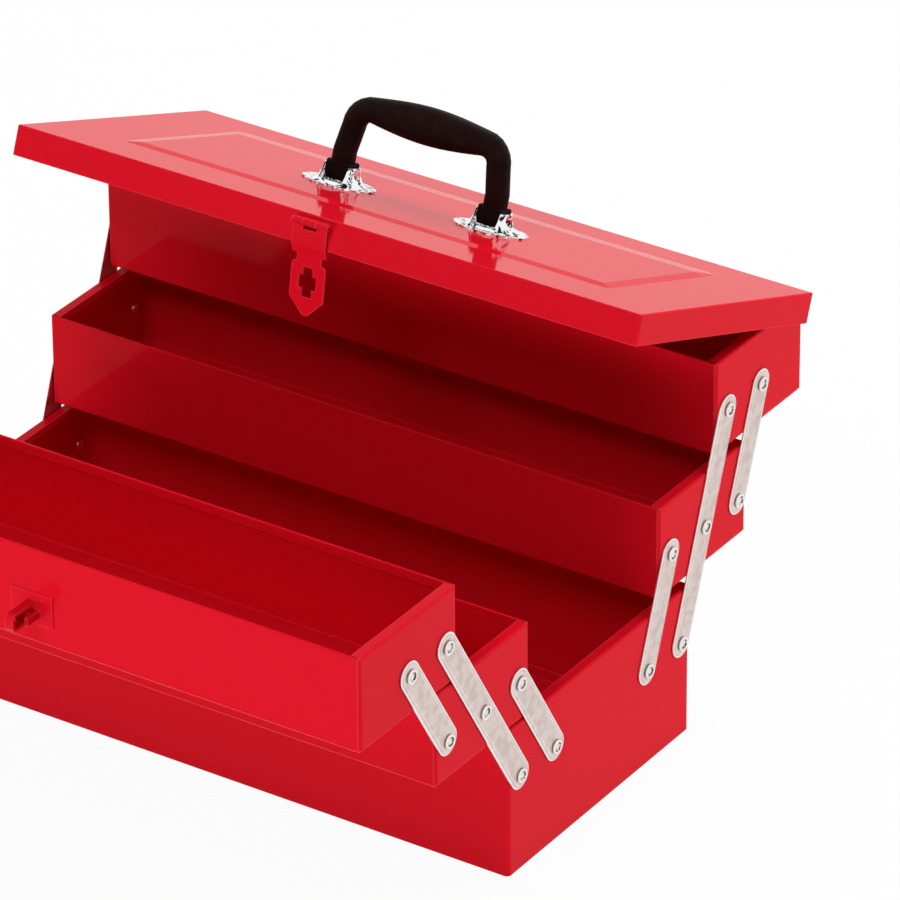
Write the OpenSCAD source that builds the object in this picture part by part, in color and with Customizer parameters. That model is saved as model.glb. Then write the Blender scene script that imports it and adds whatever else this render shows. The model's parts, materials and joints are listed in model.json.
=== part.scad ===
// Five-tray cantilever tool box, pressed and folded from painted sheet steel.
// X runs along the box, Y from front to back, Z up.
// The origin lies on the floor, in the middle of the base's underside.

/* [Box] */
// Length of the base and of every tray, over the end panels
box_l = 460; // [380:5:560]
// Depth of the base, front to back
base_d = 206; // [180:2:240]
// Height of the base, floor to rim
base_h = 104; // [90:1:130]
// Thickness of the sheet steel
sheet_t = 0.8; // [0.6:0.1:1.2]
// Outside radius of the base's upright corners
base_corner_r = 3; // [2:0.5:6]
// Height of the turned-up edge of the base floor
floor_edge_h = 8; // [5:1:12]

/* [Trays] */
// Height of a tray, underside to rim
tray_h = 64.2; // [52:0.2:76]
// Gap between the front trays and the rear trays when closed
centre_gap = 2.4; // [1.5:0.1:6]
// Gap between a tray's underside and the rim below it at either stop
rest_gap = 0.4; // [0.3:0.1:1]
// Outside radius of a tray's long bottom bends
tray_bend_r = 2; // [1.5:0.1:3]
// Outside radius of the end panels' bends
end_bend_r = 1.6; // [1.2:0.1:2.4]
// Width of the edges turned in round an end panel
end_edge_w = 7; // [5:0.5:10]
// Depth of the safety lip along the inner edge of an end panel's rim
end_lip_h = 4; // [2.5:0.5:8]
// Distance from the end of the box to the end of a tray's long walls
seam_inset = 1.4; // [1.2:0.1:3]
// Thickness of the hem folded along a long rim
hem_t = 1.8; // [1.6:0.1:2.6]
// Height of the hem folded along a long rim
hem_h = 6; // [4:0.5:9]

/* [Arms] */
// Sideways travel of one tray from upright to either stop
arm_reach = 39; // [32:0.5:42]
// Distance between neighbouring pivots on one panel
pivot_pitch = 39; // [34:0.5:41]
// Distance from a tray's outer wall to its outermost pivot
pivot_inset = 11.5; // [10.5:0.5:12.5]
// Height of the pivots above a tray's underside
tray_pivot_h = 28; // [24:0.5:34]
// Lean of the rear arms from upright, as drawn
rear_lean = 20.3; // [-30:0.1:31]
// Width of an arm
arm_w = 19; // [15:0.5:20]
// Thickness of an arm
arm_t = 1.6; // [1.2:0.1:2.2]
// Width of the bevel round an arm's outer face
arm_bevel_w = 2.6; // [1:0.1:3]
// Height of the bevel round an arm's outer face
arm_bevel_h = 0.8; // [0.3:0.1:0.9]
// Gap between an arm and the panel it swings across
arm_gap = 0.4; // [0.3:0.1:0.8]
// Radius of the rivet's shoulder, on which the arm turns
shoulder_r = 3.2; // [2.8:0.1:3.8]
// Running clearance between shoulder and arm, on the radius
pivot_clearance = 0.06; // [0.03:0.01:0.1]
// Radius of the rivet's head
rivet_head_r = 4.8; // [4.2:0.1:5.6]
// Height of the rivet's head
rivet_head_h = 1.6; // [1.2:0.1:2.2]
// Radius of the rivet's shank in the panel
shank_r = 2.2; // [1.8:0.1:2.6]

/* [Lid] */
// Depth of the lid over its flanges
lid_d = 216.5; // [210:1:219]
// Height of the lid's flange
lid_flange_h = 19.6; // [16:0.2:20]
// Gap between the end flanges and the end panels
lid_end_gap = 0.9; // [0.6:0.1:1.6]
// Gap between the rear flange and the rear wall
lid_rear_gap = 2.4; // [2.2:0.1:3]
// Outside radius of the lid's top edges
lid_edge_r = 1.6; // [1.2:0.1:2.4]
// Outside radius of the lid's upright corners
lid_corner_r = 2.4; // [1.8:0.1:4]
// Tilt of the lid from closed, as drawn
lid_tilt = 20.8; // [0:0.1:100]
// Height of the raised panel on the lid
panel_rise = 1; // [0.6:0.1:2]
// Width of the slope round the raised panel
panel_slope_w = 8; // [4:0.5:10]
// Distance from the lid's ends to the raised panel
panel_end_margin = 51; // [30:1:80]
// Distance from the lid's front edge to the raised panel
panel_front_margin = 46; // [30:1:70]
// Distance from the lid's rear edge to the raised panel
panel_rear_margin = 38; // [25:1:60]

/* [Handle] */
// Distance between the handle's two feet
handle_span = 114; // [104:1:130]
// Height of the middle of the grip above the lid
grip_h = 51.5; // [46:0.5:64]
// Height of the handle's pivot above the lid
handle_pivot_h = 8.5; // [8.5:0.5:10]
// Width of a leg, along the box
leg_w = 15.5; // [13:0.5:16.5]
// Thickness of a leg, front to back
leg_t = 12.5; // [10:0.5:13]
// Height of the grip's section at its middle
grip_w = 24.5; // [18:0.5:27]
// Thickness of the grip at its middle, front to back
grip_t = 17; // [15:0.5:20]
// Height of the grip's section at its ends
grip_end_w = 16.5; // [14:0.5:18]
// Width of a foot, along the box
foot_w = 17; // [15:0.5:19]
// Thickness of a foot, front to back
foot_t = 13; // [12.5:0.5:14]
// Height of a foot above its pivot
foot_h = 6.5; // [5:0.5:10]
// Height of the straight stretch of a leg above its pivot
leg_straight_h = 14; // [12:0.5:16]
// Inward lean of each leg above its straight stretch
leg_lean = 3; // [0:0.5:6]
// Radius of the centreline where a leg turns into the grip
shoulder_bend_r = 12.5; // [10:0.5:17]
// Radius of the stub on which the handle turns
stub_r = 2.5; // [2:0.1:3]
// Lean of the handle towards the rear, as drawn
handle_lean = 0; // [-60:1:60]
// Half the length of a handle bracket's plate, tip to tip
bracket_half_l = 25.5; // [24.5:0.5:28]
// Half the depth of a handle bracket's plate, front to back
bracket_half_d = 19.5; // [19:0.5:22]
// Radius of a handle bracket's cone where it meets the plate
cone_r = 17.6; // [16:0.1:17.8]
// Height of a handle bracket's ears
ear_h = 12.5; // [12:0.5:14]
// Thickness of a handle bracket's metal
bracket_t = 1; // [0.8:0.1:1.4]

/* [Hasp] */
// Distance of the hasp and staple from the middle of the box
hasp_x = -4.5; // [-20:0.5:20]
// Width of the hasp plate
hasp_w = 25; // [20:0.5:28]
// Length of the hasp from its pin to its tip
hasp_l = 61; // [56:1:66]
// Thickness of the hasp plate
hasp_t = 1.2; // [1:0.1:1.6]
// Width of the hasp's neck
hasp_neck_w = 18; // [14:0.5:20]
// Distance from the pin down to the step in the plate
step_start = 16; // [15.6:0.1:18]
// Length of the step
step_l = 5; // [4:0.5:6]
// How far the step carries the plate back
step_back = 2; // [1:0.1:3]
// Distance from the pin down to the plate's shoulders
shoulder_drop = 26.5; // [24:0.5:28]
// Distance from the pin down to the start of the taper
taper_drop = 50; // [49.5:0.5:53]
// Distance from the pin down to the middle of the slot
slot_mid = 39; // [37:0.5:41]
// Height of the slot
slot_h = 19.6; // [18.4:0.2:21]
// Width of the slot's upright arm
slot_w = 7.4; // [7:0.1:9]
// Width of the slot's cross arm
cross_w = 12.8; // [12:0.1:15]
// Height of the slot's cross arm
cross_h = 8.8; // [7:0.1:10]
// Lean of the hasp behind the lid's front flange, as drawn
hasp_lean = 11; // [0:0.5:11.5]
// Distance from the lid's front flange to the hasp's pin
hasp_standoff = 4; // [3.9:0.1:4.6]
// Distance from the lid's top to the hasp's pin
hasp_pin_drop = 5; // [4.6:0.2:7]
// Radius of the hasp's pin
hasp_pin_r = 1.2; // [0.9:0.1:1.5]

/* [Staple] */
// Width of the staple's base plate
staple_base_w = 30; // [25:0.5:36]
// Height of the staple's base plate
staple_base_h = 21.5; // [20:0.5:24]
// Width of the staple's loop, along the box
loop_w = 6; // [5:0.1:6.6]
// Height of the staple's loop
loop_h = 11.5; // [10:0.5:12]
// Height of the loop's middle above the middle of the guide block
loop_rise = 2.75; // [1.5:0.25:3]
// Reach of the loop out of the wall
loop_reach = 24; // [20:0.5:28]
// Thickness of the strip that forms the loop
loop_t = 1.8; // [1.5:0.1:2.2]
// Width of the guide block across the loop
guide_w = 11.6; // [10:0.1:12]
// Height of the guide block across the loop
guide_h = 5; // [3:0.1:7]
// Reach of the guide block out of the wall
guide_reach = 13; // [4:0.5:14]

/* [Hinges] */
// Length of each lid hinge
hinge_l = 50; // [36:1:70]
// Distance of each lid hinge from the middle of the box
hinge_x = 150; // [90:1:160]
// Distance from the rear wall to the hinge pin
hinge_offset = 2.8; // [2.7:0.1:3]
// Radius of the hinge knuckles
knuckle_r = 2.3; // [2:0.1:2.4]
// Radius of the hinge pin
hinge_pin_r = 1.2; // [0.9:0.1:1.4]
// Thickness of the hinge leaves
leaf_t = 0.9; // [0.7:0.1:1]
// Height of the hinge leaves
leaf_h = 13; // [9:0.5:16]

/* [Hidden] */
$fn = 48;

paint = "#d8202e";
zinc = "#c9c4bf";
chrome = "#dcdcde";
black_plastic = "#241616";

// Cuts run this far past the faces they open
past = 1;
// Gap between hinge knuckles, and between a knuckle and what it turns past
knuckle_gap = 0.3;
half_l = box_l / 2;
tray_d = base_d / 2 - centre_gap / 2;

// Arm geometry: both stops lean by the same angle, inwards when closed and outwards when open
tray_pitch = tray_h + rest_gap;
stop_lean = atan2(arm_reach, tray_pitch);
arm_l = norm([arm_reach, tray_pitch]);
base_pivot_z = base_h + rest_gap + tray_pivot_h - tray_pitch;

// How far tray number n of a side has moved out and up when its arms lean outwards by a
function out_shift(n, a) = n * (arm_l * sin(a) + arm_reach);
function up_shift(n, a) = n * (arm_l * cos(a) - tray_pitch);

// Underside of tray n when closed
function closed_z(n) = base_h + rest_gap + (n - 1) * tray_pitch;

// Rear walls, rims and the lid that hangs from them
rear_wall_y = base_d / 2 + out_shift(2, rear_lean);
upper_rear_z = closed_z(2) + up_shift(2, rear_lean);
rear_rim_z = upper_rear_z + tray_h;

// The lid is drawn closed in its own frame: hinge pin at y = 0, z = 0, front at -Y
hinge_drop = lid_flange_h + knuckle_r + knuckle_gap - rest_gap - sheet_t;
lid_top_z = hinge_drop + rest_gap + sheet_t;
lid_rear_y = lid_rear_gap + sheet_t - hinge_offset;
lid_front_y = lid_rear_y - lid_d;
lid_half_l = half_l + lid_end_gap + sheet_t;
flange_bottom_z = lid_top_z - lid_flange_h;

// Hasp pin in the lid's frame
hasp_pin_y = lid_front_y - hasp_standoff;
hasp_pin_z = lid_top_z - hasp_pin_drop;

// ---------- placing ----------

module in_lid_frame() {
    translate([0, rear_wall_y + hinge_offset, rear_rim_z - hinge_drop])
        rotate([-lid_tilt, 0, 0])
            children();
}

module on_both_ends() {
    children();
    mirror([1, 0, 0]) children();
}

// Front trays move towards -Y: drawn for the rear and mirrored
module on_side(front) {
    if (front) mirror([0, 1, 0]) children();
    else children();
}

function side_lean(front) = front ? stop_lean : rear_lean;

// Places tray n, whose own frame has y = 0 on the outer wall and y < 0 towards the middle
module at_tray(front, n) {
    on_side(front)
        translate([
            0,
            base_d / 2 + out_shift(n, side_lean(front)),
            closed_z(n) + up_shift(n, side_lean(front))
        ])
            children();
}

// ---------- sheet-metal outlines ----------

// Rectangle from the origin with its two lower corners rounded
module round_bottom(w, h, r) {
    translate([r, 0]) square([w - 2 * r, h]);
    translate([0, r]) square([w, h - r]);
    translate([r, r]) circle(r);
    translate([w - r, r]) circle(r);
}

// Rectangle from the origin with all four corners rounded
module round_all(w, h, r) {
    translate([r, 0]) square([w - 2 * r, h]);
    translate([0, r]) square([w, h - 2 * r]);
    for (x = [r, w - r], y = [r, h - r]) translate([x, y]) circle(r);
}

// Hem of a long rim, standing on the line y = 0 .. hem_t at height h
module hem_outline(h) {
    translate([0, h - hem_h]) square([hem_t, hem_h - hem_t / 2]);
    translate([hem_t / 2, h - hem_t / 2]) circle(hem_t / 2);
}

// Extrudes an outline drawn in Y and Z along X, centred
module along_x(l) {
    rotate([90, 0, 90]) translate([0, 0, -l / 2]) linear_extrude(l) children();
}

// Extrudes an outline drawn in X and Z along Y, centred on y = 0
module along_y(l) {
    rotate([90, 0, 0]) translate([0, 0, -l / 2]) linear_extrude(l) children();
}

// ---------- trays ----------

// Front wall, floor and rear wall of a tray, folded from one sheet
module tray_channel() {
    along_x(box_l - 2 * seam_inset)
        translate([-tray_d, 0]) {
            difference() {
                round_bottom(tray_d, tray_h - hem_t / 2, tray_bend_r);
                translate([sheet_t, sheet_t])
                    round_bottom(tray_d - 2 * sheet_t, tray_h, tray_bend_r - sheet_t);
            }
            hem_outline(tray_h);
            translate([tray_d, 0]) mirror([1, 0]) hem_outline(tray_h);
        }
}

// Solid block with the outside form of an end panel and its turned edges, from x = 0 outwards
module end_block(deep, wide, high, r) {
    intersection() {
        translate([-deep, -wide, 0]) cube([deep, wide, high]);
        // upright edges
        translate([-2 * deep, -wide, -past]) linear_extrude(high + 2 * past)
            round_all(2 * deep, wide, r);
        // top and bottom edges
        translate([0, -wide / 2, 0]) along_y(wide + 2 * past)
            translate([-2 * deep, 0]) round_all(2 * deep, high, r);
        // corners of the panel's face
        translate([-deep / 2, 0, 0]) along_x(deep + 2 * past)
            translate([-wide, 0]) round_all(wide, high, r);
    }
}

module pivot_holes(count, skip) {
    for (i = [skip : skip + count - 1])
        translate([0, -pivot_inset - i * pivot_pitch, 0])
            rotate([0, 90, 0])
                cylinder(r = shank_r + pivot_clearance / 2, h = 4 * end_bend_r, center = true);
}

// End panel of a tray: a shallow pan that nests between the long walls
module tray_end(count, skip) {
    pan_w = tray_d - 2 * sheet_t;
    pan_h = tray_h - sheet_t;
    notch_w = hem_t + rest_gap;
    translate([half_l, 0, 0])
        difference() {
            union() {
                translate([0, -sheet_t, sheet_t])
                    difference() {
                        end_block(end_edge_w, pan_w, pan_h, end_bend_r);
                        translate([-sheet_t, -sheet_t, sheet_t])
                            end_block(end_edge_w, pan_w - 2 * sheet_t, pan_h - 2 * sheet_t,
                                      end_bend_r - sheet_t);
                    }
                // safety lip
                translate([-end_edge_w, -tray_d + notch_w, tray_h - end_lip_h])
                    cube([sheet_t, tray_d - 2 * notch_w, end_lip_h - sheet_t / 2]);
            }
            // room for the hems of the long walls
            for (y = [-notch_w, -tray_d - past])
                translate([-end_edge_w - past, y, tray_h - hem_h - rest_gap])
                    cube([end_edge_w + past - seam_inset + rest_gap / 2, notch_w + past, hem_h + 2]);
            translate([0, 0, tray_pivot_h]) pivot_holes(count, skip);
        }
}

// ---------- base ----------

module base_outline(inset) {
    translate([-half_l + inset, -base_d / 2 + inset])
        round_all(box_l - 2 * inset, base_d - 2 * inset, base_corner_r - inset);
}

// Base walls: one strip wrapped round, hemmed along the front and back, turned in at the ends
module base_walls() {
    color(paint)
        difference() {
            union() {
                difference() {
                    intersection() {
                        linear_extrude(base_h) base_outline(0);
                        along_y(base_d + 2 * past)
                            translate([-half_l, -end_bend_r])
                                round_all(box_l, base_h + end_bend_r, end_bend_r);
                    }
                    // inside, below the turned-in end edges
                    intersection() {
                        translate([0, 0, -past]) linear_extrude(base_h) base_outline(sheet_t);
                        along_y(base_d)
                            translate([-half_l + sheet_t, -2 * end_bend_r])
                                round_all(box_l - 2 * sheet_t, base_h + 2 * end_bend_r - sheet_t,
                                          end_bend_r - sheet_t);
                    }
                    // mouth between the end edges
                    translate([-half_l + end_edge_w, -base_d / 2 + sheet_t, -past])
                        cube([box_l - 2 * end_edge_w, base_d - 2 * sheet_t, base_h + 2 * past]);
                    // long rims are lowered for the round of the hem
                    for (y = [-base_d / 2 - past, base_d / 2 - sheet_t])
                        translate([-half_l + end_edge_w, y, base_h - hem_t / 2])
                            cube([box_l - 2 * end_edge_w, sheet_t + past, hem_t]);
                }
                along_x(box_l - 2 * end_edge_w)
                    for (m = [0, 1])
                        mirror([m, 0]) translate([-base_d / 2, 0]) hem_outline(base_h);
                on_both_ends()
                    translate([half_l - end_edge_w, -base_d / 2 + sheet_t, base_h - end_lip_h])
                        cube([sheet_t, base_d - 2 * sheet_t, end_lip_h - sheet_t / 2]);
            }
            on_both_ends()
                for (front = [false, true])
                    on_side(front)
                        translate([half_l, base_d / 2, base_pivot_z]) pivot_holes(2, 0);
        }
}

// Base floor: a pan with turned-up edges inside the walls
module base_floor() {
    color(paint)
        difference() {
            linear_extrude(floor_edge_h) base_outline(sheet_t);
            translate([0, 0, sheet_t]) linear_extrude(floor_edge_h) base_outline(2 * sheet_t);
        }
}

// ---------- rivets and arms ----------

arm_x = half_l + arm_gap;
head_x = arm_gap + arm_t + knuckle_gap;

// Shoulder rivet through a panel's outer face at x = 0, head towards +X
module rivet() {
    roll_r = rivet_head_h * 0.6;
    inner_head_h = 1.2;
    inner_head_r = 3.6;
    rotate([0, 90, 0])
        rotate_extrude() {
            // closed tail inside the panel
            translate([0, -sheet_t - inner_head_h / 2]) square([inner_head_r, inner_head_h / 2]);
            translate([0, -sheet_t - inner_head_h])
                square([inner_head_r - inner_head_h / 2, inner_head_h]);
            intersection() {
                translate([inner_head_r - inner_head_h / 2, -sheet_t - inner_head_h / 2])
                    circle(inner_head_h / 2);
                translate([0, -sheet_t - inner_head_h]) square([inner_head_r, inner_head_h]);
            }
            translate([0, -sheet_t - inner_head_h / 2]) square([shank_r, sheet_t + inner_head_h]);
            // shoulder that carries the arm
            square([shoulder_r, head_x]);
            // rolled head with a hollow middle
            translate([0, head_x]) square([rivet_head_r - roll_r, rivet_head_h - roll_r]);
            intersection() {
                translate([rivet_head_r - roll_r, head_x + rivet_head_h - roll_r]) circle(roll_r);
                translate([0, head_x]) square([rivet_head_r, rivet_head_h]);
            }
        }
}

// The rivets of one panel pair: count of them, the first after skip empty places
module panel_rivets(count, skip) {
    color(zinc)
        on_both_ends()
            for (i = [skip : skip + count - 1])
                translate([half_l, -pivot_inset - i * pivot_pitch, 0]) rivet();
}

module base_rivets() {
    for (front = [false, true])
        on_side(front)
            translate([0, base_d / 2, base_pivot_z]) panel_rivets(2, 0);
}

module arm_section() {
    polygon([
        [0, 0], [arm_w / 2, 0], [arm_w / 2, arm_t - arm_bevel_h],
        [arm_w / 2 - arm_bevel_w, arm_t], [0, arm_t]
    ]);
}

// Arm from the pivot at the origin up to a last pivot, flat back on x = 0
module arm(l, holes) {
    color(zinc)
        difference() {
            union() {
                for (z = [0, l])
                    translate([0, 0, z]) rotate([0, 90, 0]) rotate_extrude() arm_section();
                linear_extrude(l)
                    rotate(90) {
                        mirror([0, 1]) arm_section();
                        mirror([1, 0]) mirror([0, 1]) arm_section();
                    }
            }
            for (z = holes)
                translate([arm_t / 2, 0, z])
                    rotate([0, 90, 0])
                        cylinder(r = shoulder_r + pivot_clearance, h = 2 * arm_t, center = true);
        }
}

// Hangs an arm on pivot number i of tray n (n = 0 is the base)
module place_arm(front, right, n, i) {
    mirror([right ? 0 : 1, 0, 0])
        on_side(front)
            translate([
                arm_x,
                base_d / 2 + out_shift(n, side_lean(front)) - pivot_inset - i * pivot_pitch,
                base_pivot_z + n * tray_pitch + up_shift(n, side_lean(front))
            ])
                rotate([-side_lean(front), 0, 0])
                    children();
}

module long_arm(front, right) {
    place_arm(front, right, 0, 0) arm(2 * arm_l, [0, arm_l, 2 * arm_l]);
}

module inner_arm(front, right) {
    place_arm(front, right, 0, 1) arm(arm_l, [0, arm_l]);
}

module outer_arm(front, right) {
    place_arm(front, right, 1, 0) arm(arm_l, [0, arm_l]);
}

// ---------- lid ----------

// Frustum of the raised panel, its rim at z = 0 and its top at z = panel_rise
module panel_frustum() {
    x0 = -lid_half_l + panel_end_margin;
    x1 = -x0;
    y0 = lid_front_y + panel_front_margin;
    y1 = lid_rear_y - panel_rear_margin;
    s = panel_slope_w;
    sink = 0.5;
    k = s * sink / panel_rise;
    intersection() {
        translate([0, (y0 + y1) / 2, 0]) along_y(y1 - y0 + 2 * k + past)
            polygon([[x0 - k, -sink], [x1 + k, -sink], [x1 - s, panel_rise], [x0 + s, panel_rise]]);
        along_x(x1 - x0 + 2 * k + past)
            polygon([[y0 - k, -sink], [y1 + k, -sink], [y1 - s, panel_rise], [y0 + s, panel_rise]]);
    }
}

module lid_block(inset) {
    r_top = lid_edge_r - inset;
    l = 2 * (lid_half_l - inset);
    d = lid_d - 2 * inset;
    h = lid_flange_h;
    translate([-lid_half_l + inset, lid_front_y + inset, flange_bottom_z])
        intersection() {
            linear_extrude(h - inset) round_all(l, d, lid_corner_r - inset);
            translate([0, d / 2, 0]) along_y(d + 2 * past)
                translate([0, -h]) round_all(l, 2 * h - inset, r_top);
            translate([l / 2, 0, 0]) along_x(l + 2 * past)
                translate([0, -h]) round_all(d, 2 * h - inset, r_top);
        }
}

module lid_shell() {
    color(paint)
        in_lid_frame()
            difference() {
                union() {
                    lid_block(0);
                    translate([0, 0, lid_top_z]) panel_frustum();
                }
                difference() {
                    union() {
                        lid_block(sheet_t);
                        translate([0, 0, flange_bottom_z - past])
                            linear_extrude(2 * past)
                                translate([-lid_half_l + sheet_t, lid_front_y + sheet_t])
                                    round_all(2 * (lid_half_l - sheet_t), lid_d - 2 * sheet_t,
                                              lid_corner_r - sheet_t);
                        translate([0, 0, lid_top_z - sheet_t]) panel_frustum();
                    }
                    // hem inside the front flange
                    along_x(2 * (lid_half_l - lid_corner_r))
                        translate([lid_front_y, flange_bottom_z])
                            square([hem_t, hem_h]);
                }
                bracket_rivet_holes();
            }
}

// ---------- lid hinges ----------

module knuckle(l, bore_r) {
    rotate([0, 90, 0])
        difference() {
            cylinder(r = knuckle_r, h = l, center = true);
            cylinder(r = bore_r, h = l + past, center = true);
        }
}

knuckle_l = hinge_l / 3;
at_hinges = [-hinge_x, hinge_x];

// Tray leaves: on the rear wall, two knuckles each
module hinge_tray_leaves() {
    color(zinc)
        translate([0, rear_wall_y + hinge_offset, rear_rim_z - hinge_drop])
            for (x = at_hinges)
                translate([x, 0, 0]) {
                    translate([-hinge_l / 2, -hinge_offset, -knuckle_r - knuckle_gap - leaf_h])
                        cube([hinge_l, leaf_t, leaf_h]);
                    for (s = [-1, 1])
                        translate([s * (hinge_l - knuckle_l) / 2, 0, 0])
                            difference() {
                                union() {
                                    knuckle(knuckle_l - knuckle_gap, hinge_pin_r);
                                    translate([
                                        -(knuckle_l - knuckle_gap) / 2,
                                        -hinge_offset,
                                        -knuckle_r - leaf_h / 2
                                    ])
                                        cube([knuckle_l - knuckle_gap, leaf_t,
                                              knuckle_r + leaf_h / 2]);
                                }
                                rotate([0, 90, 0])
                                    cylinder(r = hinge_pin_r, h = hinge_l, center = true);
                            }
                }
}

// Lid leaves: on the rear flange, one knuckle each
module hinge_lid_leaves() {
    color(zinc)
        in_lid_frame()
            for (x = at_hinges)
                translate([x, 0, 0])
                    difference() {
                        union() {
                            knuckle(knuckle_l - knuckle_gap, hinge_pin_r + pivot_clearance);
                            translate([-hinge_l / 2, lid_rear_y, flange_bottom_z])
                                cube([hinge_l, leaf_t, leaf_h]);
                            translate([-(knuckle_l - knuckle_gap) / 2, lid_rear_y, 0])
                                cube([knuckle_l - knuckle_gap, leaf_t, flange_bottom_z + past]);
                        }
                        rotate([0, 90, 0])
                            cylinder(r = hinge_pin_r + pivot_clearance, h = hinge_l, center = true);
                    }
}

// Hinge pins, held by the tray leaves, with a small head at each end
module hinge_pins() {
    pin_head_h = 0.8;
    color(zinc)
        translate([0, rear_wall_y + hinge_offset, rear_rim_z - hinge_drop])
            for (x = at_hinges)
                translate([x, 0, 0])
                    rotate([0, 90, 0]) {
                        cylinder(r = hinge_pin_r, h = hinge_l, center = true);
                        for (s = [-1, 1])
                            translate([0, 0, s * (hinge_l + pin_head_h) / 2])
                                cylinder(r = knuckle_r * 0.85, h = pin_head_h, center = true);
                    }
}

// ---------- handle and brackets ----------

handle_y = (lid_front_y + lid_rear_y) / 2;
deck_z = lid_top_z + panel_rise;
ear_gap = 0.4;
ear_t = 1.2;
slot_half = foot_w / 2 + ear_gap;
tip_cut = 1.6;
cone_clear = 0.5;
bracket_rivet_head_r = 2.3;
bracket_rivet_x = cone_r + cone_clear + bracket_rivet_head_r;
bracket_rivet_r = 1.6;
pin_head_r = stub_r + 1;

// Puts a child on the lid at each handle foot
module at_feet() {
    for (s = [-1, 1])
        translate([s * handle_span / 2, handle_y, deck_z])
            children();
}

module bracket_rivet_holes() {
    at_feet()
        for (t = [-1, 1])
            translate([t * bracket_rivet_x, 0, 0])
                cylinder(r = bracket_rivet_r, h = 6 * sheet_t, center = true);
}

// Outline of a bracket's plate: a pointed oval with its two tips rounded off
module bracket_outline() {
    tip = bracket_half_l + tip_cut;
    side_r = (tip * tip + bracket_half_d * bracket_half_d) / (2 * bracket_half_d);
    intersection() {
        translate([0, side_r - bracket_half_d]) circle(r = side_r);
        translate([0, bracket_half_d - side_r]) circle(r = side_r);
        circle(r = bracket_half_l);
    }
}

// Trumpet-shaped cone, steep at the ears and flared where it runs into the plate
module bracket_cone() {
    top_r = slot_half + 2.6;
    waist_r = top_r + 1.3;
    flare_r = (waist_r + cone_r) / 2 - 0.6;
    waist_h = 0.55 * ear_h;
    flare_h = 0.25 * ear_h;
    rotate_extrude()
        polygon([
            [cone_r, 0], [cone_r, bracket_t], [flare_r, flare_h],
            [waist_r, waist_h], [top_r, ear_h], [top_r - bracket_t, ear_h],
            [waist_r - bracket_t, waist_h], [flare_r - bracket_t, flare_h],
            [cone_r - 2 * bracket_t, bracket_t], [cone_r - 2 * bracket_t, 0]
        ]);
}

// Flat cheeks inside the cone that carry the handle's pin
module bracket_cheeks() {
    for (s = [-1, 1])
        translate([s * (slot_half + ear_t / 2), 0, 0]) {
            translate([-ear_t / 2, -4, 0]) cube([ear_t, 8, handle_pivot_h]);
            translate([0, 0, handle_pivot_h])
                rotate([0, 90, 0]) cylinder(r = 4, h = ear_t, center = true);
        }
}

module handle_bracket(side) {
    cut_l = 10;
    color(chrome)
        in_lid_frame()
            translate([side * handle_span / 2, handle_y, deck_z])
                difference() {
                    union() {
                        linear_extrude(bracket_t) bracket_outline();
                        bracket_cone();
                        bracket_cheeks();
                    }
                    // way for the foot to swing front to back
                    translate([-slot_half, -2 * cone_r, bracket_t])
                        cube([2 * slot_half, 4 * cone_r, 2 * ear_h]);
                    // bearings for the handle's pin
                    translate([0, 0, handle_pivot_h])
                        rotate([0, 90, 0])
                            cylinder(r = stub_r + pivot_clearance, h = 3 * cone_r, center = true);
                    for (t = [-1, 1]) {
                        // room for the pin's heads outside the cheeks
                        translate([t * (slot_half + ear_t + cut_l / 2), 0, handle_pivot_h])
                            rotate([0, 90, 0])
                                cylinder(r = pin_head_r + ear_gap, h = cut_l, center = true);
                        translate([t * bracket_rivet_x, 0, 0])
                            cylinder(r = bracket_rivet_r, h = 4 * bracket_t, center = true);
                    }
                }
}

module bracket_rivets() {
    crown_r = 1.4;
    head_h = 0.9;
    color(chrome)
        in_lid_frame()
            at_feet()
                for (t = [-1, 1])
                    translate([t * bracket_rivet_x, 0, 0]) {
                        translate([0, 0, bracket_t])
                            cylinder(r1 = bracket_rivet_head_r, r2 = crown_r, h = head_h);
                        translate([0, 0, -sheet_t])
                            cylinder(r = bracket_rivet_r, h = sheet_t + bracket_t);
                        translate([0, 0, -sheet_t - head_h])
                            cylinder(r1 = bracket_rivet_r, r2 = bracket_rivet_head_r, h = head_h);
                    }
}

// Steel pins through the handle's feet, with a head at each end
module handle_pins() {
    pin_half = slot_half + ear_t + knuckle_gap;
    head_h = 1.2;
    color(chrome)
        in_lid_frame()
            at_feet()
                translate([0, 0, handle_pivot_h])
                    rotate([0, 90, 0]) {
                        cylinder(r = stub_r, h = 2 * pin_half, center = true);
                        for (t = [-1, 1])
                            translate([0, 0, t * (pin_half + head_h / 2)])
                                cylinder(r = pin_head_r, h = head_h, center = true);
                    }
}

// Half of the handle's centreline, in X and height, as a chain: leg, bend, grip
leg_x = handle_span / 2;
bend_n = 6;
leg_n = 2;
grip_n = 7;
bend_c = [leg_x - leg_lean - shoulder_bend_r, grip_h - handle_pivot_h - shoulder_bend_r];
half_path = concat(
    [[leg_x, 0]],
    [for (i = [0 : leg_n - 1])
        [leg_x - leg_lean * i / leg_n,
            leg_straight_h + (bend_c[1] - leg_straight_h) * i / leg_n]],
    [for (i = [0 : bend_n - 1]) let (a = 90 * i / bend_n)
        [bend_c[0] + shoulder_bend_r * cos(a), bend_c[1] + shoulder_bend_r * sin(a)]],
    [for (i = [0 : grip_n]) [bend_c[0] * (1 - i / grip_n), grip_h - handle_pivot_h]]
);
half_n = len(half_path);
full_path = concat(
    half_path,
    [for (i = [half_n - 2 : -1 : 0]) [-half_path[i][0], half_path[i][1]]]
);
ring_n = 20;

// 0 at the ends of the grip and 1 in its middle
function grip_share(p) = cos(90 * min(1, abs(p[0]) / bend_c[0]));
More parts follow.
